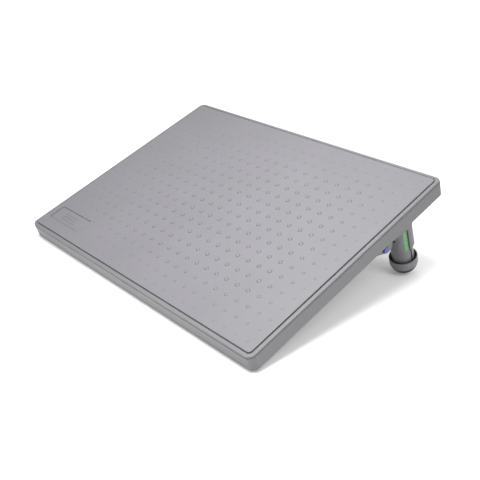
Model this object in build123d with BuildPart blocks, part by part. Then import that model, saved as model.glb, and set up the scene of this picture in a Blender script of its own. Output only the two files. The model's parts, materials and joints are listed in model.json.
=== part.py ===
"""Slant board: a low tilted foot platform on two telescoping rear legs.

Millimetres, +Z up, +X to the user's right, +Y from the low front edge to the raised back edge.
The origin is on the floor, under the middle of the board. The board itself is drawn in its own
tilted plane, and each leg in a plane whose z runs down the leg.
"""

import os
from math import asin, cos, degrees, radians, sin, sqrt

from build123d import *

# ---------------------------------------------------------------- driving sizes
# Board
board_width = 457.0          # 18 in, left to right
board_depth = 343.0          # 13.5 in, front to back along the slope
board_height = 21.9          # tray and lid together, square to the slope
tilt = 19.45                 # degrees, legs fully out
corner_radius = 9.0
edge_gap = 2.0               # floor to the board's lowest edge

# Tray
wall = 2.8
tray_floor = 2.5
tray_edge_round = 1.0
rib_thickness = 2.0
rib_spacing = 46.0           # between the ribs that run front to back
rib_row_offsets = (-101.5, -51.5, 51.5, 101.5)   # cross ribs, from the middle of the board
rib_end_gap = 6.0
rib_leg_gap = 25.6           # the ribs stop this far short of the collars round the legs

# Lid
parting_gap = 0.3
lid_rim_height = 2.7         # of the lid's rim that shows above the parting line
lid_inset = 0.5              # the lid's rim sits just inside the tray's wall
lid_plate = 0.9              # thickness of the plate inside the tray
lid_clearance = 0.3
lid_lip_depth = 4.5
lid_lip_wall = 1.8
lid_edge_round = 1.2
pocket_inset = 4.8           # outer side of the groove round the tread
pocket_depth = 1.3
corner_ease = 1.5            # the pocket's and tread's corners are rounder than a plain inset

# Tread panel
groove_width = 1.4
tread_rise = 1.0             # top of the panel above the rim
tread_edge_round = 0.9
stud_radius = 2.0
stud_clearance = 0.15
stud_length = 2.2
stud_side_inset = 32.3       # from the panel's sides to the outer studs
stud_end_inset = 25.3        # from its front and back
stud_counts = (3, 3)

# Domes on the tread
dome_pitch = 18.2
dome_margin = 10.0           # least distance from the panel's edge to a dome's centre
dome_radius = 2.8            # at the panel's surface, in the middle of the field
dome_rise = 0.9
dome_shares = (0.5, 0.7, 0.85, 1.0)   # size from the outermost ring of domes inwards
dome_sink = 0.3              # how far each dome's foot goes into the panel

# Plate at the front left
plate_length = 73.0
plate_width = 25.0
plate_side_inset = 52.0      # from the board's left side to the plate's middle
plate_v = 36.5               # from the board's front
plate_recess = 1.2
plate_thickness = 0.7
plate_gap = 0.25
plate_corner = 2.0
bar_length = 30.0
bar_width = 1.6
bar_rise = 0.3
bar_spacing = 5.0
bar_count = 3

# Screws between tray and lid
screw_shank = 1.9            # radius
screw_fit = 0.05
screw_head = 3.6             # radius
screw_head_height = 2.2
screw_head_clearance = 0.5
screw_top_wall = 2.1         # from the screw's tip to the underside of the lid's plate
screw_tip_gap = 0.5          # a screw's hole is this much deeper than its tip
screw_drive = 1.1            # radius of the hexagonal socket
screw_drive_depth = 1.2
pillar_radius = 4.6
seat_radius = 6.5
seat_height = 6.0
seat_bore_depth = 3.2
screw_side_inset = 22.5
screw_front = 30.0
screw_back_inset = 22.0
screw_inner_column = 70.0
screw_housing_gap = 26.5     # the side screws stand this far ahead of the leg housings

# Front rubber strips
strip_radius = 6.0
strip_length = 150.0
strip_offset = 115.0         # centre of each strip from the middle of the board
strip_tongue = 1.2
strip_tongue_width = 6.0
strip_fit = 0.1
strip_end_round = 1.5

# Legs
leg_side_inset = 33.2        # from the board's side to the leg's axis
leg_back_inset = 54.0        # from the board's back edge, along the slope
leg_travel = 26.0            # two steps of the latch
leg_step = 13.0

# Post
post_radius = 14.5
post_bore = 8.0
post_top_gap = 1.3           # under the lid, leg pushed fully in
post_past_ball = 2.95        # the post's end below the centre of the ball-shaped foot
post_head = 4.0              # solid top of the post
post_round = 1.0
channel_half_width = 2.8
channel_depth = 2.0
notch_depth = 2.2
notch_height = 3.6
keyway_half_width = 1.6
keyway_depth = 1.8

# Height mark
mark_start = 9.0             # degrees round the post, from the outer side to the front
mark_end = 34.0
mark_end_gap = 0.5           # from the mark's end up to the sleeve's
mark_depth = 0.6
mark_fit = 0.05
mark_side_gap = 0.3          # degrees

# Sleeve and housing
sleeve_clearance = 0.3
sleeve_wall = 2.1
sleeve_end_gap = 1.5         # from the sleeve's end to the cup's floor, leg pushed fully in
sleeve_tip_height = 3.5
sleeve_tip_wall = 0.6
window_start = 10.0          # degrees; the sleeve is open from here round the front
window_end = 170.0
key_clearance = 0.4
key_depth = 2.4              # from the key's tip into the sleeve's wall
housing_shoulder = 0.6       # the housing is this much wider than the sleeve on each side
housing_front = 91.0         # ahead of the leg's axis
housing_front_round = 8.0
housing_nose = 6.5           # depth of the front face
housing_slope = 0.51         # depth gained for each millimetre towards the leg
lobe_back = 35.0
lobe_round = 8.0
window_edge_front = 20.3
window_edge_back = 25.0
housing_wall = 2.5
cavity_back_wall = 7.2       # from the sleeve's bore to the cavity
cavity_front = 86.0
cavity_lobe_floor = 27.7
housing_edge_round = 0.8

# Latch
latch_top = 15.0
latch_thickness = 3.0
latch_half_width = 4.5
latch_tooth_half_width = 2.3
latch_front = 60.0
latch_shoulder_gap = 1.0
latch_clearance = 0.3
latch_travel = 3.0
guide_wall = 1.5
guide_height = 4.0
guide_length = 12.0
guide_from_cavity = 1.0
pin_radius = 1.5
pin_length = 3.6
pin_from_axis = 47.6
pin_clearance = 0.3

# Button
button_radius = 4.6
button_from_axis = 49.0
button_edge_wall = 0.95      # least wall between the button's bore and the sloping underside
button_proud = 2.5
button_clearance = 0.35
button_dome = 0.8
bar_front = 54.0
bar_back = 43.0
bar_inner = -5.0
rail_width = 2.0
rail_rows = (44.5, 52.5)
bar_top = 18.5
bar_bottom = 21.9

# Button spring
spring_radius = 2.0
spring_wire = 0.35           # radius of the wire
spring_turns = 6
spring_seat_gap = 0.05

joint_overlap = 0.5          # how far a rib or boss runs into the wall it stands on
cut_past = 1.0               # how far a cut runs past the face that it opens

# Housing screws
housing_screw_shank = 1.4
housing_screw_head = 2.8
housing_screw_head_height = 1.8
housing_screw_length = 5.0   # into the housing
housing_boss_radius = 3.2
housing_screw_offset = 11.2
housing_screw_rows = (27.0, 82.0)

# Foot
cup_wall = 1.2               # the foot is part of a ball, so it stands the same at every tilt
cup_depth = 10.0             # from the rim to the post's end
cup_inner_clearance = 0.4
cup_step_height = 4.0        # where the cup's bore starts to narrow, above the post's end
cup_floor_step = 1.4         # how much it narrows
cup_base_thickness = 2.5
cup_spigot_radius = 11.0
cup_spigot_length = 5.0
cup_plug_height = 7.0        # the plug inside the post's lower end
foot_fit = 0.05
cup_rim_round = 0.5

# ---------------------------------------------------------------- derived sizes and planes
slope_cos = cos(radians(tilt))
slope_sin = sin(radians(tilt))
tray_height = board_height - parting_gap - lid_rim_height
leg_offset = board_width / 2 - leg_side_inset
leg_from_front = board_depth - leg_back_inset
front_lean = (
    lid_edge_round + (board_height - lid_edge_round) * slope_sin - (lid_inset + lid_edge_round) * slope_cos
)
front_y = -(board_depth * slope_cos - front_lean) / 2
board = Plane(origin=(0, front_y, edge_gap), x_dir=(1, 0, 0), z_dir=(0, -slope_sin, slope_cos))
board_axis = Axis(board.origin, board.z_dir)
leg_top = board.from_local_coords(Vector(leg_offset, leg_from_front, 0))
leg = Plane(origin=leg_top, x_dir=(1, 0, 0), z_dir=-board.z_dir)
leg_side = Plane(origin=leg_top, x_dir=leg.y_dir, z_dir=(1, 0, 0))
leg_axis = Axis(leg_top, leg.z_dir)

lid_under = tray_height - (lid_plate - parting_gap)
pocket_floor = board_height - pocket_depth
tread_top = board_height + tread_rise
tread_inset = pocket_inset + groove_width
tread_width = board_width - 2 * tread_inset
tread_depth = board_depth - 2 * tread_inset
stud_spacing_x = tread_width / 2 - stud_side_inset
stud_spacing_y = tread_depth / 2 - stud_end_inset
plate_u = plate_side_inset - board_width / 2
screw_length = lid_under - screw_top_wall - seat_bore_depth
pocket_corner = corner_radius - pocket_inset + corner_ease
tread_corner = corner_radius - tread_inset + corner_ease
strip_v = (strip_radius - edge_gap) / slope_sin
sleeve_bore = post_radius + sleeve_clearance
sleeve_radius = sleeve_bore + sleeve_wall
housing_half_width = sleeve_radius + housing_shoulder
cavity_back = sleeve_bore + cavity_back_wall
latch_shoulder = cavity_back + latch_shoulder_gap
collar_radius = sleeve_radius + wall
rib_side_reach = leg_offset - collar_radius - rib_leg_gap
rib_side_count = int(rib_side_reach // rib_spacing)
channel_floor = post_radius - channel_depth
latch_tip = channel_floor + latch_clearance
channel_top = latch_top - latch_clearance
channel_bottom = latch_top + latch_thickness + leg_travel + latch_clearance
latch_bottom = latch_top + latch_thickness
boss_floor = latch_bottom + latch_clearance
cup_bore = sleeve_radius + cup_inner_clearance
foot_radius = cup_bore + cup_wall
foot_centre = (leg_top.Z - foot_radius) / slope_cos
post_top = leg_travel + post_top_gap - lid_under
post_bottom = foot_centre + post_past_ball
sleeve_bottom = post_bottom - leg_travel - sleeve_end_gap
mark_top = window_edge_back
mark_bottom = sleeve_bottom - mark_end_gap
cup_rim = post_bottom - cup_depth
cup_step = post_bottom - cup_step_height
cup_floor_radius = cup_bore - cup_floor_step
cup_base = post_bottom + cup_base_thickness
inner_wall = housing_half_width - housing_wall
sector_reach = 2 * housing_half_width
sector_tip = 3 * housing_half_width
key_tip = post_radius - keyway_depth + key_clearance
button_pocket = latch_clearance + latch_travel + button_clearance
cavity_bend = housing_front - (cavity_lobe_floor + housing_wall - housing_nose) / housing_slope
screw_outer_column = board_width / 2 - screw_side_inset
case_screw_places = [
    (side * column, row)
    for side in (-1, 1)
    for column, row in (
        (screw_outer_column, screw_front),
        (screw_inner_column, screw_front),
        (screw_outer_column, leg_from_front - housing_front - screw_housing_gap),
        (screw_outer_column, board_depth - screw_back_inset),
        (screw_inner_column, board_depth - screw_back_inset),
    )
]
housing_screw_places = [(s * housing_screw_offset, b) for s in (-1, 1) for b in housing_screw_rows]
dome_columns = int((tread_width - 2 * dome_margin) // dome_pitch) + 1
dome_rows = int((tread_depth - 2 * dome_margin) // dome_pitch) + 1
dome_places = {share: [] for share in dome_shares}
for column in range(dome_columns):
    for row in range(dome_rows):
        dome_u = (column - (dome_columns - 1) / 2) * dome_pitch
        dome_v = (row - (dome_rows - 1) / 2) * dome_pitch + board_depth / 2
        ring = min(column, dome_columns - 1 - column, row, dome_rows - 1 - row, len(dome_shares) - 1)
        clear_of_plate = (
            abs(dome_u - plate_u) > plate_length / 2 + dome_radius
            or abs(dome_v - plate_v) > plate_width / 2 + dome_radius
        )
        if clear_of_plate:
            dome_places[dome_shares[ring]].append((dome_u, dome_v, tread_top))


def housing_depth(b):
    """Depth of the housing's sloping underside, b ahead of the leg's axis."""
    return housing_nose + housing_slope * (housing_front - b)


def cavity_depth(b):
    """Depth of the floor inside the housing, b ahead of the leg's axis."""
    if b < lobe_back + housing_wall:
        return boss_floor
    return min(cavity_lobe_floor, housing_depth(b) - housing_wall)


button_edge_room = (button_radius + button_clearance + button_edge_wall) * sqrt(1 + housing_slope**2)
button_depth = housing_depth(button_from_axis) - button_edge_room


def round_leg(angle):
    """A point beyond the sleeve, at an angle round the leg from its outer side towards the front."""
    return sector_reach * cos(radians(angle)), sector_reach * sin(radians(angle))


def save(part, name):
    """Label one finished piece and write it."""
    part.label = name
    export_step(part, f"parts/{name}.step")


def save_pair(part, name):
    """Write a right-hand piece and its mirror image on the left."""
    save(part, "right_" + name)
    save(mirror(part, about=Plane.YZ), "left_" + name)


os.makedirs("parts", exist_ok=True)

# ---------------------------------------------------------------- base tray
with BuildPart() as base_tray:
    with BuildSketch(board):
        with Locations((0, board_depth / 2)):
            RectangleRounded(board_width, board_depth, corner_radius)
    extrude(amount=tray_height)
    fillet(base_tray.faces().sort_by(board_axis)[0].edges(), tray_edge_round)
    with BuildSketch(board.offset(tray_floor)):
        with Locations((0, board_depth / 2)):
            RectangleRounded(board_width - 2 * wall, board_depth - 2 * wall, corner_radius - wall)
    extrude(amount=tray_height, mode=Mode.SUBTRACT)
    with BuildSketch(board.offset(tray_floor)) as ribs:
        for column in range(-rib_side_count, rib_side_count + 1):
            with Locations((column * rib_spacing, board_depth / 2)):
                Rectangle(rib_thickness, board_depth - 2 * (wall + rib_end_gap))
        for row in rib_row_offsets:
            with Locations((0, board_depth / 2 + row)):
                Rectangle(2 * rib_side_reach, rib_thickness)
    extrude(amount=lid_under - tray_floor)
    with BuildSketch(board):
        with Locations(*case_screw_places):
            Circle(seat_radius)
    extrude(amount=seat_height)
    with BuildSketch(board.offset(tray_floor)):
        with Locations((leg_offset, leg_from_front), (-leg_offset, leg_from_front)):
            Circle(collar_radius)
    extrude(amount=seat_height)
    with BuildSketch(board):
        with Locations(*case_screw_places):
            Circle(screw_head + screw_head_clearance)
    extrude(amount=seat_bore_depth, mode=Mode.SUBTRACT)
    with BuildSketch(board):
        with Locations(*case_screw_places):
            Circle(screw_shank + screw_fit)
        with Locations((leg_offset, leg_from_front), (-leg_offset, leg_from_front)):
            Circle(sleeve_bore)
        for side in (-1, 1):
            with Locations(*[(side * leg_offset + a, leg_from_front - b) for a, b in housing_screw_places]):
                Circle(housing_screw_shank + screw_fit)
    extrude(amount=tray_height, mode=Mode.SUBTRACT)
    with BuildSketch(board):
        with Locations((-strip_offset, strip_v), (strip_offset, strip_v)):
            Rectangle(strip_length, strip_tongue_width)
    extrude(amount=strip_tongue, mode=Mode.SUBTRACT)
save(base_tray.part, "base_tray")

# ---------------------------------------------------------------- top cover
lid_inner_width = board_width - 2 * (wall + lid_clearance)
lid_inner_depth = board_depth - 2 * (wall + lid_clearance)
lid_inner_corner = corner_radius - wall - lid_clearance

with BuildPart() as top_cover:
    with BuildSketch(board.offset(tray_height + parting_gap)):
        with Locations((0, board_depth / 2)):
            RectangleRounded(
                board_width - 2 * lid_inset, board_depth - 2 * lid_inset, corner_radius - lid_inset
            )
    extrude(amount=board_height - tray_height - parting_gap)
    fillet(top_cover.faces().sort_by(board_axis)[-1].edges(), lid_edge_round)
    with BuildSketch(board.offset(lid_under)):
        with Locations((0, board_depth / 2)):
            RectangleRounded(lid_inner_width, lid_inner_depth, lid_inner_corner)
    extrude(amount=lid_plate)
    with BuildSketch(board.offset(lid_under)):
        with Locations((0, board_depth / 2)):
            RectangleRounded(lid_inner_width, lid_inner_depth, lid_inner_corner)
            RectangleRounded(
                lid_inner_width - 2 * lid_lip_wall,
                lid_inner_depth - 2 * lid_lip_wall,
                lid_inner_corner - lid_lip_wall,
                mode=Mode.SUBTRACT,
            )
    extrude(amount=-lid_lip_depth)
    with BuildSketch(board.offset(lid_under)):
        with Locations(*case_screw_places):
            Circle(pillar_radius)
    extrude(amount=seat_height - lid_under)
    with BuildSketch(board.offset(seat_height)):
        with Locations(*case_screw_places):
            Circle(screw_shank + screw_fit)
    extrude(amount=screw_length - (seat_height - seat_bore_depth) + screw_tip_gap, mode=Mode.SUBTRACT)
    with BuildSketch(board.offset(pocket_floor)):
        with Locations((0, board_depth / 2)):
            RectangleRounded(board_width - 2 * pocket_inset, board_depth - 2 * pocket_inset, pocket_corner)
    extrude(amount=pocket_depth, mode=Mode.SUBTRACT)
    with BuildSketch(board.offset(pocket_floor)):
        with Locations((0, board_depth / 2)):
            with GridLocations(stud_spacing_x, stud_spacing_y, *stud_counts):
                Circle(stud_radius + stud_clearance)
    extrude(amount=-(pocket_floor - lid_under), mode=Mode.SUBTRACT)
save(top_cover.part, "top_cover")

# ---------------------------------------------------------------- tread panel
dome_caps = {}
for share in dome_shares:
    dome_foot = dome_radius * share
    dome_height = dome_rise * share
    ball_radius = (dome_foot**2 + dome_height**2) / (2 * dome_height)
    with BuildPart() as dome_cap:
        with Locations((0, 0, dome_height - ball_radius)):
            Sphere(ball_radius)
        split(bisect_by=Plane.XY.offset(-dome_sink), keep=Keep.TOP)
    dome_caps[share] = dome_cap.part

with BuildPart() as tread_panel:
    with BuildSketch(board.offset(pocket_floor)):
        with Locations((0, board_depth / 2)):
            RectangleRounded(tread_width, tread_depth, tread_corner)
    extrude(amount=tread_top - pocket_floor)
    fillet(tread_panel.faces().sort_by(board_axis)[-1].edges(), tread_edge_round)
    with BuildSketch(board.offset(tread_top)):
        with Locations((plate_u, plate_v)):
            RectangleRounded(plate_length, plate_width, plate_corner)
    extrude(amount=-plate_recess, mode=Mode.SUBTRACT)
    with BuildSketch(board.offset(pocket_floor)):
        with Locations((0, board_depth / 2)):
            with GridLocations(stud_spacing_x, stud_spacing_y, *stud_counts):
                Circle(stud_radius)
    extrude(amount=-stud_length)
    for share in dome_shares:
        with Locations(board):
            with Locations(*dome_places[share]):
                add(dome_caps[share])
save(tread_panel.part, "tread_panel")

# ---------------------------------------------------------------- blank plate
with BuildPart() as blank_plate:
    with BuildSketch(board.offset(tread_top - plate_recess)):
        with Locations((plate_u, plate_v)):
            RectangleRounded(
                plate_length - 2 * plate_gap, plate_width - 2 * plate_gap, plate_corner - plate_gap
            )
    extrude(amount=plate_thickness)
    with BuildSketch(board.offset(tread_top - plate_recess + plate_thickness)):
        with Locations((plate_u, plate_v)):
            with GridLocations(0, bar_spacing, 1, bar_count):
                SlotOverall(bar_length, bar_width)
    extrude(amount=bar_rise)
save(blank_plate.part, "blank_plate")

# ---------------------------------------------------------------- case screws
with BuildPart() as case_screws:
    with BuildSketch(board.offset(seat_bore_depth - screw_head_height)):
        with Locations(*case_screw_places):
            Circle(screw_head)
    extrude(amount=screw_head_height)
    with BuildSketch(board.offset(seat_bore_depth)):
        with Locations(*case_screw_places):
            Circle(screw_shank)
    extrude(amount=screw_length)
    with BuildSketch(board.offset(seat_bore_depth - screw_head_height)):
        with Locations(*case_screw_places):
            RegularPolygon(screw_drive, 6)
    extrude(amount=screw_drive_depth, mode=Mode.SUBTRACT)
save(case_screws.part, "case_screws")

# ---------------------------------------------------------------- front strips
strip_plane = Plane(
    origin=board.from_local_coords(Vector(strip_offset, strip_v, 0)), x_dir=leg.y_dir, z_dir=(1, 0, 0)
)

with BuildPart() as front_strip:
    with BuildSketch(strip_plane):
        Circle(strip_radius)
        with Locations((0, -strip_radius)):
            Rectangle(3 * strip_radius, 2 * strip_radius, mode=Mode.SUBTRACT)
    extrude(amount=strip_length / 2, both=True)
    fillet(front_strip.faces().filter_by(Axis.X).edges().filter_by(GeomType.CIRCLE), strip_end_round)
    with BuildSketch(strip_plane):
        with Locations((0, -(strip_tongue - strip_fit) / 2)):
            Rectangle(strip_tongue_width - 2 * strip_fit, strip_tongue - strip_fit)
    extrude(amount=strip_length / 2 - strip_fit, both=True)
save_pair(front_strip.part, "front_strip")

# ---------------------------------------------------------------- leg housing
housing_rise = housing_slope * (housing_front - lobe_back)

with BuildPart() as leg_housing:
    with BuildSketch(leg):
        with Locations((0, housing_front / 2)):
            Rectangle(2 * housing_half_width, housing_front)
        fillet(vertices().group_by(Axis.Y)[-1], housing_front_round)
        Circle(housing_half_width)
    extrude(amount=housing_nose + housing_rise)
    with BuildSketch(leg_side):
        with BuildLine():
            Polyline(
                (-housing_half_width - cut_past, 0),
                (housing_front + cut_past, 0),
                (housing_front + cut_past, housing_nose - housing_slope * cut_past),
                (lobe_back, housing_nose + housing_rise),
                (lobe_back, window_edge_front),
                (0, window_edge_back),
                (-housing_half_width - cut_past, window_edge_back),
                close=True,
            )
        make_face()
        fillet(vertices().group_by(Axis.Y)[-1], lobe_round)
    extrude(amount=housing_half_width + cut_past, both=True, mode=Mode.INTERSECT)
    rim_edges = leg_housing.faces().sort_by(leg_axis)[0].edges()
    uprights = leg_housing.edges().filter_by(leg_axis)
    seams_across = leg_housing.edges().filter_by(Axis.X)
    fillet(leg_housing.edges() - rim_edges - uprights - seams_across, housing_edge_round)
    with BuildSketch(leg):
        Circle(sleeve_radius)
        with BuildLine():
            Polyline((0, 0), round_leg(window_start), (0, sector_tip), round_leg(window_end), close=True)
        make_face(mode=Mode.SUBTRACT)
    extrude(amount=sleeve_bottom)
    with BuildSketch(leg_side):
        with BuildLine():
            Polyline(
                (sleeve_radius, sleeve_bottom - sleeve_tip_height),
                (sleeve_radius + cut_past, sleeve_bottom - sleeve_tip_height),
                (sleeve_radius + cut_past, sleeve_bottom + cut_past),
                (sleeve_bore + sleeve_tip_wall, sleeve_bottom + cut_past),
                (sleeve_bore + sleeve_tip_wall, sleeve_bottom),
                close=True,
            )
        make_face()
    revolve(axis=leg_axis, mode=Mode.SUBTRACT)
    with BuildSketch(leg_side):
        with BuildLine():
            Polyline(
                (cavity_back, -cut_past),
                (cavity_front, -cut_past),
                (cavity_front, cavity_depth(cavity_front)),
                (cavity_bend, cavity_lobe_floor),
                (lobe_back + housing_wall, cavity_lobe_floor),
                (lobe_back + housing_wall, boss_floor),
                (cavity_back, boss_floor),
                close=True,
            )
        make_face()
    extrude(amount=inner_wall, both=True, mode=Mode.SUBTRACT)
    with BuildSketch(leg):
        Circle(sleeve_bore)
    extrude(amount=sleeve_bottom + cut_past, mode=Mode.SUBTRACT)
    with BuildSketch(leg.offset(channel_top)):
        with Locations((0, (cavity_back + cut_past) / 2)):
            Rectangle(2 * (latch_tooth_half_width + latch_clearance), cavity_back + cut_past)
    extrude(amount=boss_floor - channel_top, mode=Mode.SUBTRACT)
    with BuildSketch(leg.offset(boss_floor - guide_height)):
        for side in (-1, 1):
            with Locations((
                side * (latch_half_width + latch_clearance + guide_wall / 2),
                cavity_back + guide_from_cavity + guide_length / 2,
            )):
                Rectangle(guide_wall, guide_length)
    extrude(amount=guide_height + joint_overlap)
    for row in rail_rows:
        with BuildSketch(leg.offset(bar_bottom + latch_clearance)):
            with Locations(((bar_inner + inner_wall) / 2, row)):
                Rectangle(inner_wall - bar_inner, rail_width)
        extrude(amount=cavity_depth(row) - bar_bottom)
    for row in housing_screw_rows:
        with BuildSketch(leg):
            with Locations((-housing_screw_offset, row), (housing_screw_offset, row)):
                Circle(housing_boss_radius)
        extrude(amount=cavity_depth(row) + joint_overlap)
    with BuildSketch(leg):
        with Locations(*housing_screw_places):
            Circle(housing_screw_shank + screw_fit)
    extrude(amount=housing_screw_length + screw_tip_gap, mode=Mode.SUBTRACT)
    with BuildSketch(leg_side.offset(inner_wall - button_pocket)):
        with Locations((button_from_axis, button_depth)):
            Circle(button_radius + button_clearance)
    extrude(amount=button_pocket + housing_wall + cut_past, mode=Mode.SUBTRACT)
    with BuildSketch(leg.offset(window_edge_front)):
        with Locations((key_tip + key_depth / 2, 0)):
            Rectangle(key_depth, 2 * (keyway_half_width - key_clearance))
    extrude(amount=sleeve_bottom - sleeve_tip_height - window_edge_front)
save_pair(leg_housing.part, "leg_housing")

# ---------------------------------------------------------------- leg post
with BuildPart() as leg_post:
    with BuildSketch(leg.offset(post_top)):
        Circle(post_radius)
    extrude(amount=post_bottom - post_top)
    fillet(leg_post.faces().sort_by(leg_axis)[0].edges(), post_round)
    with BuildSketch(leg.offset(post_top + post_head)):
        Circle(post_bore)
    extrude(amount=post_bottom, mode=Mode.SUBTRACT)
    with BuildSketch(leg.offset(channel_top)):
        with Locations((0, channel_floor + post_radius / 2)):
            Rectangle(2 * channel_half_width, post_radius)
    extrude(amount=channel_bottom - channel_top, mode=Mode.SUBTRACT)
    for step in range(int(leg_travel / leg_step) + 1):
        with BuildSketch(leg.offset(channel_top + step * leg_step)):
            with Locations((0, channel_floor - notch_depth / 2)):
                Rectangle(2 * channel_half_width, notch_depth)
        extrude(amount=notch_height, mode=Mode.SUBTRACT)
    with BuildSketch(leg.offset(post_top - cut_past)):
        with Locations((post_radius - keyway_depth + post_radius / 2, 0)):
            Rectangle(post_radius, 2 * keyway_half_width)
    extrude(amount=post_bottom, mode=Mode.SUBTRACT)
    with BuildSketch(leg.offset(mark_top)):
        Circle(post_radius + cut_past)
        Circle(post_radius - mark_depth, mode=Mode.SUBTRACT)
        with BuildLine():
            Polyline((0, 0), round_leg(mark_start), round_leg(mark_end), close=True)
        make_face(mode=Mode.INTERSECT)
    extrude(amount=mark_bottom - mark_top, mode=Mode.SUBTRACT)
save_pair(leg_post.part, "leg_post")

# ---------------------------------------------------------------- height mark
with BuildPart() as height_mark:
    with BuildSketch(leg.offset(mark_top + mark_fit)):
        Circle(post_radius)
        Circle(post_radius - mark_depth + mark_fit, mode=Mode.SUBTRACT)
        with BuildLine():
            Polyline(
                (0, 0), round_leg(mark_start + mark_side_gap), round_leg(mark_end - mark_side_gap), close=True
            )
        make_face(mode=Mode.INTERSECT)
    extrude(amount=mark_bottom - mark_top - 2 * mark_fit)
save_pair(height_mark.part, "height_mark")

# ---------------------------------------------------------------- latch
with BuildPart() as latch:
    with BuildSketch(leg.offset(latch_top)):
        with Locations((0, (latch_front + latch_shoulder) / 2)):
            Rectangle(2 * latch_half_width, latch_front - latch_shoulder)
        with Locations((0, (latch_shoulder + latch_tip) / 2)):
            Rectangle(2 * latch_tooth_half_width, latch_shoulder - latch_tip)
    extrude(amount=latch_thickness)
    with BuildSketch(leg.offset(latch_bottom)):
        with Locations((0, pin_from_axis)):
            Circle(pin_radius)
    extrude(amount=pin_length)
save_pair(latch.part, "latch")

# ---------------------------------------------------------------- button
with BuildPart() as button:
    with BuildSketch(leg.offset(bar_top)):
        with Locations(((bar_inner + inner_wall - latch_clearance) / 2, (bar_front + bar_back) / 2)):
            Rectangle(inner_wall - latch_clearance - bar_inner, bar_front - bar_back)
    extrude(amount=bar_bottom - bar_top)
    with BuildSketch(leg.offset(bar_top)):
        with Locations((latch_travel / 2, pin_from_axis + latch_travel / 2)):
            SlotCenterToCenter(latch_travel * sqrt(2), 2 * (pin_radius + pin_clearance), rotation=45)
    extrude(amount=bar_bottom - bar_top, mode=Mode.SUBTRACT)
    with BuildSketch(leg_side.offset(inner_wall - latch_clearance)):
        with Locations((button_from_axis, button_depth)):
            Circle(button_radius)
    extrude(amount=housing_wall + latch_clearance + button_proud)
    fillet(button.faces().sort_by(Axis.X)[-1].edges(), button_dome)
save_pair(button.part, "button")

# ---------------------------------------------------------------- button spring
spring_centre = spring_radius - spring_wire
spring_length = bar_inner + inner_wall - 2 * (spring_wire + spring_seat_gap)
spring_start = leg_side.offset(-inner_wall + spring_wire + spring_seat_gap).from_local_coords(
    Vector(button_from_axis, (bar_top + bar_bottom) / 2, 0)
)

with BuildPart() as button_spring:
    with BuildLine() as coil:
        Helix(
            pitch=spring_length / spring_turns,
            height=spring_length,
            radius=spring_centre,
            center=spring_start,
            direction=(1, 0, 0),
        )
    with BuildSketch(Plane(origin=coil.line @ 0, z_dir=coil.line % 0)):
        Circle(spring_wire)
    sweep()
save_pair(button_spring.part, "button_spring")

# ---------------------------------------------------------------- housing screws
with BuildPart() as housing_screws:
    with BuildSketch(leg.offset(-tray_floor - housing_screw_head_height)):
        with Locations(*housing_screw_places):
            Circle(housing_screw_head)
    extrude(amount=housing_screw_head_height)
    with BuildSketch(leg.offset(-tray_floor)):
        with Locations(*housing_screw_places):
            Circle(housing_screw_shank)
    extrude(amount=tray_floor + housing_screw_length)
save_pair(housing_screws.part, "housing_screws")

# ---------------------------------------------------------------- foot
base_angle = degrees(asin((cup_base - foot_centre) / foot_radius))
base_radius = foot_radius * cos(radians(base_angle))

with BuildPart() as foot_cup:
    with BuildSketch(leg_side):
        with BuildLine():
            Polyline(
                (base_radius, cup_base),
                (cup_spigot_radius, cup_base),
                (cup_spigot_radius, cup_base + cup_spigot_length),
                (0, cup_base + cup_spigot_length),
                (0, post_bottom - cup_plug_height),
                (post_bore - foot_fit, post_bottom - cup_plug_height),
                (post_bore - foot_fit, post_bottom),
                (cup_floor_radius, post_bottom),
                (cup_bore, cup_step),
                (cup_bore, cup_rim),
                (foot_radius, cup_rim),
                (foot_radius, foot_centre),
            )
            CenterArc((0, foot_centre), foot_radius, 0, base_angle)
        make_face()
    revolve(axis=leg_axis)
    fillet(foot_cup.edges().filter_by(GeomType.CIRCLE).group_by(leg_axis)[0], cup_rim_round)
save_pair(foot_cup.part, "foot_cup")

with BuildPart() as foot_sole:
    with BuildSketch(leg_side):
        with BuildLine():
            Polyline(
                (0, foot_centre + foot_radius),
                (0, cup_base + cup_spigot_length + foot_fit),
                (cup_spigot_radius + foot_fit, cup_base + cup_spigot_length + foot_fit),
                (cup_spigot_radius + foot_fit, cup_base),
                (base_radius, cup_base),
            )
            CenterArc((0, foot_centre), foot_radius, base_angle, 90 - base_angle)
        make_face()
    revolve(axis=leg_axis)
save_pair(foot_sole.part, "foot_sole")
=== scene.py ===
"""Slant board: the finishes of a tilted foot platform, its studio floor, lights and camera.

Lengths are metres in the model's own frame: +Z up, +X to the user's right, +Y from the low front edge to
the raised back edge. Sizes given in millimetres are turned to metres by MM.
"""

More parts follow.
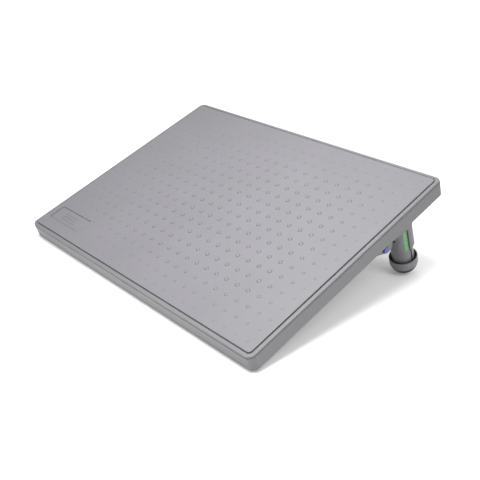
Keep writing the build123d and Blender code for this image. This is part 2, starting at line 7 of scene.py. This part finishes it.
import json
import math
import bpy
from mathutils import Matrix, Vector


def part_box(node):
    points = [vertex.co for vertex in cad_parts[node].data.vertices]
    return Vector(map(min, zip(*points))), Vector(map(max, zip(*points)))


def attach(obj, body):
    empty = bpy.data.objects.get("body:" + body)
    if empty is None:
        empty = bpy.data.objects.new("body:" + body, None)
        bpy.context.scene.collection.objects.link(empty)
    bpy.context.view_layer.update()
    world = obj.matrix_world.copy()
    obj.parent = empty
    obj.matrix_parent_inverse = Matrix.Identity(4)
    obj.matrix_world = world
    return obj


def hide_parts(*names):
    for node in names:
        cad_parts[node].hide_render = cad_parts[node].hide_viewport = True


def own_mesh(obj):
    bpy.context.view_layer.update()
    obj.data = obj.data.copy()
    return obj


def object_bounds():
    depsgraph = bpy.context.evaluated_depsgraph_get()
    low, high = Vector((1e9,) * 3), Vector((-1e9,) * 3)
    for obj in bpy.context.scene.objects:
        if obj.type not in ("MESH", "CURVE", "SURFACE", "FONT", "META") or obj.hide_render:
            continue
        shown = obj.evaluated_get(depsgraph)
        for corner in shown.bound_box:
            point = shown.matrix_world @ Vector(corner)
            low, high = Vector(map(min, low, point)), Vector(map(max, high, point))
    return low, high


bl_info = {
    "name": "Slant board",
    "version": (1, 0, 0),
    "blender": (4, 5, 0),
    "location": "View3D > Sidebar > Slant board",
    "description": "Dresses a tilted foot platform in its moulded finishes and sets it on a studio floor",
    "category": "Object",
}

import bmesh
import bpy
from bpy.props import FloatProperty, FloatVectorProperty, IntProperty, PointerProperty
from mathutils import Matrix, Vector

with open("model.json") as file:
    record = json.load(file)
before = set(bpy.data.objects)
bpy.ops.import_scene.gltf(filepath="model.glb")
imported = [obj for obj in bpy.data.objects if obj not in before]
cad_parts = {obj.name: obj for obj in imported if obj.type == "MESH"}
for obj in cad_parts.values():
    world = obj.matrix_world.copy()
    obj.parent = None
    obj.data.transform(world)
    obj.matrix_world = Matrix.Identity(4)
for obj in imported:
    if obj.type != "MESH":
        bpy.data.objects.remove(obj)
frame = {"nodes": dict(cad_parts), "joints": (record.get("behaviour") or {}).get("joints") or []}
cad_low, cad_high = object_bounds()

MM = 0.001
SIDES = ("left", "right")
down_leg = Vector(next(joint["axis"] for joint in frame["joints"] if joint["name"] == "right_leg_height"))
board_tilt = math.atan2(down_leg.y, -down_leg.z)


def linear(code):
    """A linear colour from an sRGB hex code such as "9C9CA1"."""
    shares = [int(code[i:i + 2], 16) / 255 for i in (0, 2, 4)]
    return tuple(s / 12.92 if s <= 0.04045 else ((s + 0.055) / 1.055) ** 2.4 for s in shares)


def add_node(tree, kind, inputs=(), **settings):
    """Adds a node with its settings. inputs pairs each input with a value or with another node's output."""
    node = tree.nodes.new(kind)
    for name, value in settings.items():
        setattr(node, name, value)
    for socket, value in inputs:
        if isinstance(value, bpy.types.NodeSocket):
            tree.links.new(value, node.inputs[socket])
        else:
            node.inputs[socket].default_value = value
    return node


# ---------------------------------------------------------------- sizes and colours a user would change
class BoardSettings(bpy.types.PropertyGroup):
    """Colours and grain of the moulded board."""

    shell: FloatVectorProperty(
        name="Shell", description="Grey of the tray, the lid and the leg housings", subtype="COLOR",
        default=linear("5A5A5C"), min=0, max=1,
    )
    tread: FloatVectorProperty(
        name="Tread", description="Grey of the domed panel and its small plate", subtype="COLOR",
        default=linear("5D5C60"), min=0, max=1,
    )
    bar_length: FloatProperty(
        name="Bar length", description="Length of the plate's raised bars", unit="LENGTH", default=30 * MM,
    )
    bar_width: FloatProperty(
        name="Bar width", description="Width of the plate's raised bars", unit="LENGTH", default=1.6 * MM,
    )
    bar_rise: FloatProperty(
        name="Bar rise", description="Height of the bars above the plate", unit="LENGTH", default=0.3 * MM,
    )
    bar_spacing: FloatProperty(
        name="Bar spacing", description="Distance between the bars", unit="LENGTH", default=5 * MM,
    )
    grain: FloatProperty(
        name="Grain", description="Width of one grain of the spark-eroded mould texture", unit="LENGTH",
        default=1.4 * MM, min=0.2 * MM, max=5 * MM,
    )
    grain_depth: FloatProperty(
        name="Grain depth", description="Height of the mould texture", unit="LENGTH",
        default=0.03 * MM, min=0, max=0.2 * MM,
    )


class LegSettings(bpy.types.PropertyGroup):
    """Colours of the legs, their feet and their buttons."""

    post: FloatVectorProperty(
        name="Post", description="Grey of the telescoping posts", subtype="COLOR",
        default=linear("636366"), min=0, max=1,
    )
    cup: FloatVectorProperty(
        name="Foot cup", description="Grey of the round foot cups", subtype="COLOR",
        default=linear("6B6B6D"), min=0, max=1,
    )
    rubber: FloatVectorProperty(
        name="Rubber", description="Black of the soles and the front strips", subtype="COLOR",
        default=linear("121212"), min=0, max=1,
    )
    mark: FloatVectorProperty(
        name="Height mark", description="Green of the inlay in each post", subtype="COLOR",
        default=linear("5E8E60"), min=0, max=1,
    )
    button: FloatVectorProperty(
        name="Button", description="Blue of the latch buttons", subtype="COLOR",
        default=linear("2F357C"), min=0, max=1,
    )
    spring_wire: FloatProperty(
        name="Spring wire", description="Diameter of the button springs' wire", unit="LENGTH",
        default=0.7 * MM, min=0.2 * MM, max=2 * MM,
    )
    spring_turns: IntProperty(
        name="Spring turns", description="Turns in each button spring", default=6, min=3, max=12,
    )
    drag_mark: FloatProperty(
        name="Drag marks", description="Spacing of the fine lines that run down each post", unit="LENGTH",
        default=1.2 * MM, min=0.2 * MM, max=5 * MM,
    )


class StageSettings(bpy.types.PropertyGroup):
    """The floor and the view."""

    floor: FloatVectorProperty(
        name="Floor", description="Colour of the pale floor", subtype="COLOR",
        default=linear("DADADA"), min=0, max=1,
    )
    floor_radius: FloatProperty(
        name="Floor radius", description="How far the floor reaches", unit="LENGTH", default=9.0, min=1,
    )
    eye: FloatVectorProperty(
        name="Eye", description="Where the camera stands", subtype="TRANSLATION", unit="LENGTH",
        default=(0.68167, -0.59373, 0.46450),
    )
    azimuth: FloatProperty(
        name="Azimuth", description="Turn of the view, from looking along +Y towards looking along -X",
        unit="ROTATION", default=math.radians(47.509),
    )
    elevation: FloatProperty(
        name="Elevation", description="Height of the view above the horizon", unit="ROTATION",
        default=math.radians(26.048),
    )
    lens: FloatProperty(name="Lens", description="Focal length", unit="CAMERA", default=55.23, min=10)


# ---------------------------------------------------------------- materials
ABS_IOR = 1.53
RUBBER_IOR = 1.52
NOISE_RANGE = (0.3, 0.7)           # where nearly all of a noise's values lie
CORNER_RANGE = (0.99, 0.8)         # cosine between flat and rounded normals: no corner, full corner
BEVEL_SAMPLES = 6
# Cosines between a surface and the flat of the tread, for the painted shade on the domes' flanks.
FLANK_RANGE = (0.955, 0.86)        # none, then full painted shade
STEEP_RANGE = (0.55, 0.75)         # the panel's own steep sides take less of it
FLANK_ROUGHNESS = 0.4              # the painted-shade flanks are made that much duller than the plastic
# The ellipse where the painted shade is strongest: how far it is full, and where it has thinned out.
PATCH_STRETCH = (1.0, 1.35, 0.0)
PATCH_SHIFT = (-0.06, 0.04, 0.0)
PATCH_RANGE = (0.10, 0.27)


def new_material(name):
    """An empty node material with its Principled shader. Returns (material, tree, shader)."""
    material = bpy.data.materials.new(name)
    material.use_nodes = True
    tree = material.node_tree
    tree.nodes.clear()
    shader = add_node(tree, "ShaderNodeBsdfPrincipled")
    add_node(tree, "ShaderNodeOutputMaterial", [("Surface", shader.outputs["BSDF"])])
    return material, tree, shader


def object_place(tree, rotation=(0, 0, 0), stretch=(1, 1, 1)):
    """The surface's own coordinates in metres, turned and stretched for a pattern."""
    place = add_node(tree, "ShaderNodeTexCoord")
    return add_node(
        tree, "ShaderNodeMapping",
        [("Vector", place.outputs["Object"]), ("Rotation", rotation), ("Scale", stretch)],
    ).outputs["Vector"]


def noise(tree, place, size, detail=2.0, rough=0.5):
    """Noise from 0 to 1 whose patches are about size metres wide."""
    return add_node(
        tree, "ShaderNodeTexNoise",
        [("Vector", place), ("Scale", 1 / size), ("Detail", detail), ("Roughness", rough)],
    ).outputs["Fac"]


def calculate(tree, operation, *values):
    """One step of arithmetic on numbers or on other nodes' outputs."""
    return add_node(tree, "ShaderNodeMath", enumerate(values), operation=operation).outputs["Value"]


def remap(tree, value, low, high, out_low, out_high):
    """The value's range from low to high, moved to out_low to out_high and held there."""
    return add_node(
        tree, "ShaderNodeMapRange",
        [("Value", value), ("From Min", low), ("From Max", high), ("To Min", out_low), ("To Max", out_high)],
    ).outputs["Result"]


def vary(tree, pattern, low, high):
    """A noise pattern spread over the range from low to high."""
    return remap(tree, pattern, *NOISE_RANGE, low, high)


def shade_of(tree, colour, factor):
    """The colour made lighter or darker by a factor that varies over the surface."""
    return add_node(
        tree, "ShaderNodeVectorMath", [(0, colour), (1, factor)], operation="MULTIPLY"
    ).outputs["Vector"]


def soft_corner(tree, radius):
    """How much an outer corner of that radius shows here, and the corner's rounded normal."""
    rounded = add_node(tree, "ShaderNodeBevel", [("Radius", radius)], samples=BEVEL_SAMPLES).outputs["Normal"]
    flat = add_node(tree, "ShaderNodeNewGeometry").outputs["True Normal"]
    along = add_node(tree, "ShaderNodeVectorMath", [(0, rounded), (1, flat)], operation="DOT_PRODUCT")
    return remap(tree, along.outputs["Value"], *CORNER_RANGE, 0.0, 1.0), rounded


def set_surface(tree, shader, colour, tone, matt, height, depth, rounded):
    """Gives the shader its colour times tone, its roughness, and relief of that depth on rounded corners."""
    tree.links.new(shade_of(tree, colour, tone), shader.inputs["Base Color"])
    tree.links.new(matt, shader.inputs["Roughness"])
    bump = add_node(
        tree, "ShaderNodeBump",
        [("Strength", 1.0), ("Distance", depth), ("Height", height), ("Normal", rounded)],
    )
    tree.links.new(bump.outputs["Normal"], shader.inputs["Normal"])


def flank_shade_share(tree, place):
    """How much painted shade lies here, from 0 to 1: full on the domes' flanks, weaker on the panel's steep
    sides, none on the flat of the tread and the tops of the domes, and strongest in an ellipse near the
    middle."""
    facing = add_node(tree, "ShaderNodeNewGeometry").outputs["Normal"]
    along = add_node(
        tree, "ShaderNodeVectorMath", [(0, facing), (1, tuple(-down_leg))], operation="DOT_PRODUCT"
    ).outputs["Value"]
    leaning = remap(tree, along, *FLANK_RANGE, 0.0, 1.0)
    flank = calculate(tree, "MULTIPLY", leaning, remap(tree, along, *STEEP_RANGE, 0.3, 1.0))
    from_patch_middle = add_node(
        tree, "ShaderNodeVectorMath", [(0, place), (1, PATCH_STRETCH), (2, PATCH_SHIFT)],
        operation="MULTIPLY_ADD",
    ).outputs["Vector"]
    reach = add_node(tree, "ShaderNodeVectorMath", [(0, from_patch_middle)], operation="LENGTH").outputs["Value"]
    return calculate(tree, "MULTIPLY", flank, remap(tree, reach, *PATCH_RANGE, 1.0, 0.3))


def moulded_abs(name, colour, grain, depth, gloss, flank_shade=0.0):
    """Injection-moulded ABS from a spark-eroded mould: an even, slightly cool grey with a satin sheen, a
    fine grain and faint flow clouds where the melt met. Corners are scuffed paler. Where painted shade is
    given, the corners and the domes' flanks are darkened instead, as painted shade."""
    material, tree, shader = new_material(name)
    place = object_place(tree)
    clouds = noise(tree, place, 70 * MM, detail=3)
    speckle = noise(tree, place, 2.5 * MM, detail=1)
    corner, rounded = soft_corner(tree, 0.7 * MM)
    tone = calculate(tree, "MULTIPLY", vary(tree, clouds, 0.975, 1.025), vary(tree, speckle, 0.985, 1.015))
    # Corners are scuffed paler; where painted shade is given they come out darker instead, as painted shade
    # in the tread's creases and along its edges.
    marked_tone = calculate(tree, "MULTIPLY_ADD", corner, 0.10 - flank_shade, tone)
    patchy = calculate(tree, "ADD", clouds, speckle)
    matt = remap(tree, patchy, 0.7, 1.3, gloss - 0.04, gloss + 0.04)
    # Painted shade: the domes' flanks are darkened, most in an ellipse near the middle of the tread, and made
    # duller.
    if flank_shade:
        shade_share = flank_shade_share(tree, place)
        marked_tone = calculate(tree, "MULTIPLY_ADD", shade_share, -flank_shade, marked_tone)
        matt = calculate(tree, "MULTIPLY_ADD", shade_share, FLANK_ROUGHNESS, matt)
    # Real grain of about 0.3 mm would not show, so it is drawn a few times coarser.
    set_surface(tree, shader, colour, marked_tone, matt, noise(tree, place, grain), depth, rounded)
    shader.inputs["IOR"].default_value = ABS_IOR
    return material


def drawn_nylon(name, colour, line_gap):
    """Glass-filled nylon post, polished by sliding: a darker satin grey with fine lines down its length."""
    material, tree, shader = new_material(name)
    along_post = object_place(tree, rotation=(board_tilt, 0, 0), stretch=(1, 1, 0.03))
    lines = noise(tree, along_post, line_gap, detail=2)
    clouds = noise(tree, object_place(tree), 25 * MM, detail=3)
    corner, rounded = soft_corner(tree, 0.5 * MM)
    tone = calculate(
        tree, "MULTIPLY", remap(tree, lines, 0.35, 0.65, 0.97, 1.03), vary(tree, clouds, 0.97, 1.03)
    )
    marked_tone = calculate(tree, "MULTIPLY_ADD", corner, 0.15, tone)
    set_surface(tree, shader, colour, marked_tone, vary(tree, lines, 0.32, 0.46), lines, 0.02 * MM, rounded)
    shader.inputs["IOR"].default_value = ABS_IOR
    return material


def moulded_rubber(name, colour, rough):
    """Moulded rubber: soft and matt, with a fine open grain and a little pale dust caught in it."""
    material, tree, shader = new_material(name)
    place = object_place(tree)
    grain = noise(tree, place, 0.9 * MM, detail=3, rough=0.6)
    dust = noise(tree, place, 9 * MM, detail=4, rough=0.65)
    corner, rounded = soft_corner(tree, 0.6 * MM)
    tone = calculate(
        tree, "MULTIPLY", remap(tree, dust, 0.45, 0.8, 0.95, 1.35), vary(tree, grain, 0.92, 1.08)
    )
    marked_tone = calculate(tree, "MULTIPLY_ADD", corner, 0.2, tone)
    matt = vary(tree, dust, rough - 0.06, rough + 0.08)
    set_surface(tree, shader, colour, marked_tone, matt, grain, 0.05 * MM, rounded)
    shader.inputs["IOR"].default_value = RUBBER_IOR
    return material


def polished_abs(name, colour):
    """Coloured ABS from a polished mould: clean colour, a soft shine and the faintest ripple."""
    material, tree, shader = new_material(name)
    place = object_place(tree)
    ripple = noise(tree, place, 3 * MM, detail=2)
    clouds = noise(tree, place, 12 * MM, detail=2)
    corner, rounded = soft_corner(tree, 0.4 * MM)
    marked_tone = calculate(tree, "MULTIPLY_ADD", corner, 0.25, vary(tree, clouds, 0.94, 1.06))
    set_surface(tree, shader, colour, marked_tone, vary(tree, ripple, 0.24, 0.36), ripple, 0.02 * MM, rounded)
    shader.inputs["IOR"].default_value = ABS_IOR
    return material


def plated_steel(name, colour, line_gap, rough):
    """Zinc-plated or drawn steel: a cool grey metal with fine tool lines and a slightly cloudy plating."""
    material, tree, shader = new_material(name)
    lines = noise(tree, object_place(tree, stretch=(1, 0.1, 1)), line_gap, detail=2)
    clouds = noise(tree, object_place(tree), 4 * MM, detail=3)
    corner, rounded = soft_corner(tree, 0.2 * MM)
    marked_tone = calculate(tree, "MULTIPLY_ADD", corner, 0.1, vary(tree, clouds, 0.85, 1.05))
    matt = vary(tree, lines, rough - 0.06, rough + 0.06)
    set_surface(tree, shader, colour, marked_tone, matt, lines, 0.01 * MM, rounded)
    shader.inputs["Metallic"].default_value = 1.0
    return material


def dress(material, *names):
    """Gives CAD nodes a finish."""
    for name in names:
        for slot in frame["nodes"][name].material_slots:
            slot.material = material


def pair(name):
    """The left and right nodes of that name."""
    return [f"{side}_{name}" for side in SIDES]


# ---------------------------------------------------------------- modelling
SMOOTH_ANGLE = math.radians(35)    # edges sharper than this stay sharp
LIP_STEPS = 3
PLATE_CORNER = 2.0 * MM
PLATE_LIP = 0.35 * MM
PLATE_STEPS = 6
BAR_CORNER = 0.35                  # share of the bar's width
BAR_LIP = 0.2 * MM
BAR_STEPS = 4
WIRE_SIDES = 10
STEPS_PER_TURN = 28


def flat_box(name):
    """A node's lowest and highest corners measured along the tilted board instead of the floor."""
    level = Matrix.Rotation(-board_tilt, 3, "X")
    points = [level @ corner.co for corner in frame["nodes"][name].data.vertices]
    return (
        Vector(min(point[i] for point in points) for i in range(3)),
        Vector(max(point[i] for point in points) for i in range(3)),
    )


def start_piece(add, **settings):
    """Adds a primitive with nothing else selected and returns it."""
    bpy.ops.object.select_all(action="DESELECT")
    add(**settings)
    return bpy.context.active_object


def pick_edges(piece, test):
    """Opens a piece for editing with only the edges selected whose two ends pass the test."""
    bpy.ops.object.mode_set(mode="EDIT")
    bpy.ops.mesh.select_mode(type="EDGE")
    bpy.ops.mesh.select_all(action="DESELECT")
    shape = bmesh.from_edit_mesh(piece.data)
    for edge in shape.edges:
        if test(edge.verts[0].co, edge.verts[1].co):
            edge.select_set(True)
    bmesh.update_edit_mesh(piece.data)


def rounded_slab(low, high, corner, lip, steps):
    """A flat slab with round corners and a rounded upper edge, in the board's own flat frame."""
    slab = start_piece(bpy.ops.mesh.primitive_cube_add, size=1, location=(low + high) / 2)
    slab.scale = high - low
    bpy.ops.object.transform_apply(location=True, rotation=True, scale=True)
    pick_edges(slab, lambda a, b: abs(a.z - b.z) > (high.z - low.z) / 2)
    bpy.ops.mesh.bevel(offset=corner, segments=steps)
    pick_edges(slab, lambda a, b: min(a.z, b.z) > high.z - lip / 4)
    bpy.ops.mesh.bevel(offset=lip, segments=LIP_STEPS)
    bpy.ops.object.mode_set(mode="OBJECT")
    return slab


def finish_piece(piece, name, material, body, node):
    """Names a piece, shades it, gives it its finish and hangs it on its body in place of a CAD node."""
    piece.name = name
    piece.data.name = name
    bpy.ops.object.select_all(action="DESELECT")
    piece.select_set(True)
    bpy.context.view_layer.objects.active = piece
    bpy.ops.object.transform_apply(location=True, rotation=True, scale=True)
    bpy.ops.object.shade_smooth_by_angle(angle=SMOOTH_ANGLE)
    piece.data.materials.clear()
    piece.data.materials.append(bpy.data.materials[material])
    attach(piece, body)
    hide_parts(node)


# ---------------------------------------------------------------- operators
class DressBoard(bpy.types.Operator):
    """Finish the tray, lid and leg housings as one grey moulded shell, and the domed tread and its plate"""

    bl_idname = "slant_board.dress_board"
    bl_label = "Finish the board"

    def execute(self, context):
        size = context.scene.slant_board
        shell = moulded_abs("abs_spark_eroded_shell", size.shell, size.grain, size.grain_depth, 0.46)
        # The tread gets painted shade on its domes' flanks and in its corners.
        tread = moulded_abs(
            "abs_spark_eroded_tread", size.tread, size.grain, size.grain_depth, 0.44, flank_shade=0.72
        )
        dress(shell, "base_tray", "top_cover", *pair("leg_housing"))
        dress(tread, "tread_panel")
        return {"FINISHED"}


class DressLegs(bpy.types.Operator):
    """Finish the posts, height marks, buttons and latches"""

    bl_idname = "slant_board.dress_legs"
    bl_label = "Finish the legs"

    def execute(self, context):
        legs = context.scene.slant_legs
        dress(drawn_nylon("nylon_glass_filled_post", legs.post, legs.drag_mark), *pair("leg_post"))
        dress(polished_abs("abs_polished_green", legs.mark), *pair("height_mark"))
        dress(polished_abs("abs_polished_blue", legs.button), *pair("button"))
        dress(polished_abs("acetal_moulded_black", linear("2A2A2C")), *pair("latch"))
        return {"FINISHED"}


class DressFeet(bpy.types.Operator):
    """Finish the foot cups, their soles and the strips under the front edge in rubber"""

    bl_idname = "slant_board.dress_feet"
    bl_label = "Finish the feet"

    def execute(self, context):
        legs = context.scene.slant_legs
        dress(moulded_rubber("tpe_moulded_grey", legs.cup, 0.5), *pair("foot_cup"))
        black = moulded_rubber("rubber_moulded_black", legs.rubber, 0.62)
        dress(black, *pair("foot_sole"), *pair("front_strip"))
        return {"FINISHED"}


class DressFasteners(bpy.types.Operator):
    """Finish the screws and the button springs in steel"""

    bl_idname = "slant_board.dress_fasteners"
    bl_label = "Finish the screws and springs"

    def execute(self, context):
        screws = plated_steel("steel_zinc_plated", linear("B4B6BA"), 0.4 * MM, 0.34)
        plated_steel("steel_drawn_wire", linear("C2C3C6"), 0.2 * MM, 0.26)
        dress(screws, "case_screws", *pair("housing_screws"))
        return {"FINISHED"}


class MakePlate(bpy.types.Operator):
    """Make the small plate in the tread's front left corner, with rounded edges and three raised bars"""

    bl_idname = "slant_board.make_plate"
    bl_label = "Make the plate"

    def execute(self, context):
        size = context.scene.slant_board
        low, high = flat_box("blank_plate")
        face = high.z - size.bar_rise
        plate = rounded_slab(low, Vector((high.x, high.y, face)), PLATE_CORNER, PLATE_LIP, PLATE_STEPS)
        middle = (low + high) / 2
        half = Vector((size.bar_length / 2, size.bar_width / 2, 0))
        for row in (-1, 0, 1):
            centre = Vector((middle.x, middle.y + row * size.bar_spacing, 0))
            foot, top = centre - half, centre + half
            foot.z, top.z = (low.z + face) / 2, high.z
            bar = rounded_slab(foot, top, BAR_CORNER * size.bar_width, BAR_LIP, BAR_STEPS)
            join = plate.modifiers.new("bar", "BOOLEAN")
            join.operation = "UNION"
            join.solver = "EXACT"
            join.object = bar
            context.view_layer.objects.active = plate
            bpy.ops.object.modifier_apply(modifier=join.name)
            bpy.data.objects.remove(bar)
        plate.matrix_world = Matrix.Rotation(board_tilt, 4, "X")
        finish_piece(plate, "embossed_plate", "abs_spark_eroded_tread", "board", "blank_plate")
        return {"FINISHED"}


def wind_spring(wire, coil, length, turns):
    """A coil spring along its own Z, its middle at the origin, from its wire's and its coil's radius."""
    spring = start_piece(
        bpy.ops.mesh.primitive_circle_add, vertices=WIRE_SIDES, radius=wire,
        location=(coil, 0, -length / 2), rotation=(math.pi / 2, 0, 0),
    )
    bpy.ops.object.transform_apply(location=True, rotation=True, scale=True)
    wind = spring.modifiers.new("wind", "SCREW")
    wind.axis = "Z"
    wind.angle = math.tau
    wind.iterations = turns
    wind.screw_offset = length / turns
    wind.steps = wind.render_steps = STEPS_PER_TURN
    bpy.ops.object.modifier_apply(modifier=wind.name)
    # The wire's two open ends are closed with flat faces.
    bpy.ops.object.mode_set(mode="EDIT")
    bpy.ops.mesh.select_all(action="DESELECT")
    bpy.ops.mesh.select_mode(type="EDGE")
    bpy.ops.mesh.select_non_manifold()
    bpy.ops.mesh.edge_face_add()
    bpy.ops.mesh.select_all(action="SELECT")
    bpy.ops.mesh.normals_make_consistent(inside=False)
    bpy.ops.object.mode_set(mode="OBJECT")
    return spring


class MakeSprings(bpy.types.Operator):
    """Wind each button's return spring"""

    bl_idname = "slant_board.make_springs"
    bl_label = "Wind the button springs"

    def execute(self, context):
        legs = context.scene.slant_legs
        wire = legs.spring_wire / 2
        for side in SIDES:
            low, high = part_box(f"{side}_button_spring")
            middle = (Vector(low) + Vector(high)) / 2
            coil = (high[2] - low[2]) / 2 - wire
            length = high[0] - low[0] - 2 * wire
            spring = wind_spring(wire, coil, length, legs.spring_turns)
            spring.matrix_world = Matrix.Translation(middle) @ Matrix.Rotation(math.pi / 2, 4, "Y")
            finish_piece(
                spring, f"{side}_return_spring", "steel_drawn_wire",
                "board", f"{side}_button_spring",
            )
            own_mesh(spring)
        return {"FINISHED"}


# ---------------------------------------------------------------- stage
FLOOR_SIDES = 96
# The floor glows, weakest near the board: painted light that lifts the floor's shadows, with painted shade
# left around the board.
GLOW_REACH = (0.40, 1.1)           # metres from the middle, over which the floor's glow grows
GLOW = (0.16, 0.62)
SKY = 0.8
NARROW = math.radians(120)
SENSOR_WIDTH = 36                  # millimetres, as Blender counts a camera's sensor


def area_light(name, place, aim, width, power, spread=math.pi):
    """A square soft white light at place that faces aim."""
    data = bpy.data.lights.new(name, "AREA")
    data.size = width
    data.energy = power
    data.spread = spread
    light = bpy.data.objects.new(name, data)
    light.location = place
    light.rotation_mode = "QUATERNION"
    light.rotation_quaternion = (Vector(place) - Vector(aim)).to_track_quat("Z", "Y")
    bpy.context.scene.collection.objects.link(light)


class SetStage(bpy.types.Operator):
    """Lay the pale floor and set the studio lights and the camera"""

    bl_idname = "slant_board.set_stage"
    bl_label = "Set the stage"

    def execute(self, context):
        stage = context.scene.slant_stage
        scene = context.scene
        scene.view_settings.view_transform = "Standard"
        bpy.ops.object.select_all(action="DESELECT")
        bpy.ops.mesh.primitive_circle_add(vertices=FLOOR_SIDES, radius=stage.floor_radius, fill_type="NGON")
        floor = context.active_object
        floor.name = "studio_floor"
        material, tree, shader = new_material("painted_pale_floor")
        shader.inputs["Base Color"].default_value = (*stage.floor, 1)
        shader.inputs["Roughness"].default_value = 0.9
        shader.inputs["Specular IOR Level"].default_value = 0.1
        shader.inputs["Emission Color"].default_value = (1, 1, 1, 1)
        distance = add_node(
            tree, "ShaderNodeVectorMath", [(0, object_place(tree))], operation="LENGTH"
        ).outputs["Value"]
        # Painted light: the floor's glow grows with distance from the middle.
        glow = remap(tree, distance, *GLOW_REACH, *GLOW)
        tree.links.new(glow, shader.inputs["Emission Strength"])
        floor.data.materials.append(material)

        world = bpy.data.worlds.new("studio_sky")
        world.use_nodes = True
        sky = world.node_tree.nodes["Background"]
        sky.inputs["Color"].default_value = (1, 1, 1, 1)
        sky.inputs["Strength"].default_value = SKY
        scene.world = world

        middle = (cad_low + cad_high) / 2
        over_board = middle + Vector((-0.14, 0.16, 0.60))
        area_light("sheen", over_board, aim=middle, width=0.45, power=0.64, spread=NARROW)
        area_light("pool", (0.14, -0.26, 0.80), aim=(0.06, 0.0, 0.06), width=0.45, power=6.0, spread=NARROW)
        area_light("right_top", (0.80, 0.12, 0.85), aim=middle, width=0.45, power=3.2)
        area_light("front_fill", (-0.10, -0.85, 0.42), aim=middle, width=0.40, power=2.4)

        camera_data = bpy.data.cameras.new("view")
        camera_data.lens = stage.lens
        camera_data.sensor_width = SENSOR_WIDTH
        camera = bpy.data.objects.new("view", camera_data)
        back = Vector((
            math.sin(stage.azimuth) * math.cos(stage.elevation),
            -math.cos(stage.azimuth) * math.cos(stage.elevation),
            math.sin(stage.elevation),
        ))
        camera.location = stage.eye
        camera.rotation_mode = "QUATERNION"
        camera.rotation_quaternion = (-back).to_track_quat("-Z", "Y")
        scene.collection.objects.link(camera)
        scene.camera = camera
        return {"FINISHED"}


OPERATORS = (DressBoard, MakePlate, DressLegs, DressFeet, DressFasteners, MakeSprings, SetStage)


class SlantBoardPanel(bpy.types.Panel):
    """Sizes, colours and steps of the slant board"""

    bl_idname = "VIEW3D_PT_slant_board"
    bl_label = "Slant board"
    bl_space_type = "VIEW_3D"
    bl_region_type = "UI"
    bl_category = "Slant board"

    def draw(self, context):
        for settings in (context.scene.slant_board, context.scene.slant_legs, context.scene.slant_stage):
            box = self.layout.box()
            for name in settings.bl_rna.properties.keys():
                if name not in ("rna_type", "name"):
                    box.prop(settings, name)
        for operator in OPERATORS:
            self.layout.operator(operator.bl_idname)


CLASSES = (BoardSettings, LegSettings, StageSettings, *OPERATORS, SlantBoardPanel)


def register():
    """Makes the settings, operators and panel known to Blender."""
    for item in CLASSES:
        bpy.utils.register_class(item)
    bpy.types.Scene.slant_board = PointerProperty(type=BoardSettings)
    bpy.types.Scene.slant_legs = PointerProperty(type=LegSettings)
    bpy.types.Scene.slant_stage = PointerProperty(type=StageSettings)


def unregister():
    """Takes them away again."""
    del bpy.types.Scene.slant_stage
    del bpy.types.Scene.slant_legs
    del bpy.types.Scene.slant_board
    for item in reversed(CLASSES):
        bpy.utils.unregister_class(item)


def main():
    """Runs every step in order."""
    register()
    bpy.ops.slant_board.dress_board()
    bpy.ops.slant_board.make_plate()
    bpy.ops.slant_board.dress_legs()
    bpy.ops.slant_board.dress_feet()
    bpy.ops.slant_board.dress_fasteners()
    bpy.ops.slant_board.make_springs()
    bpy.ops.slant_board.set_stage()


if __name__ == "__main__":
    main()
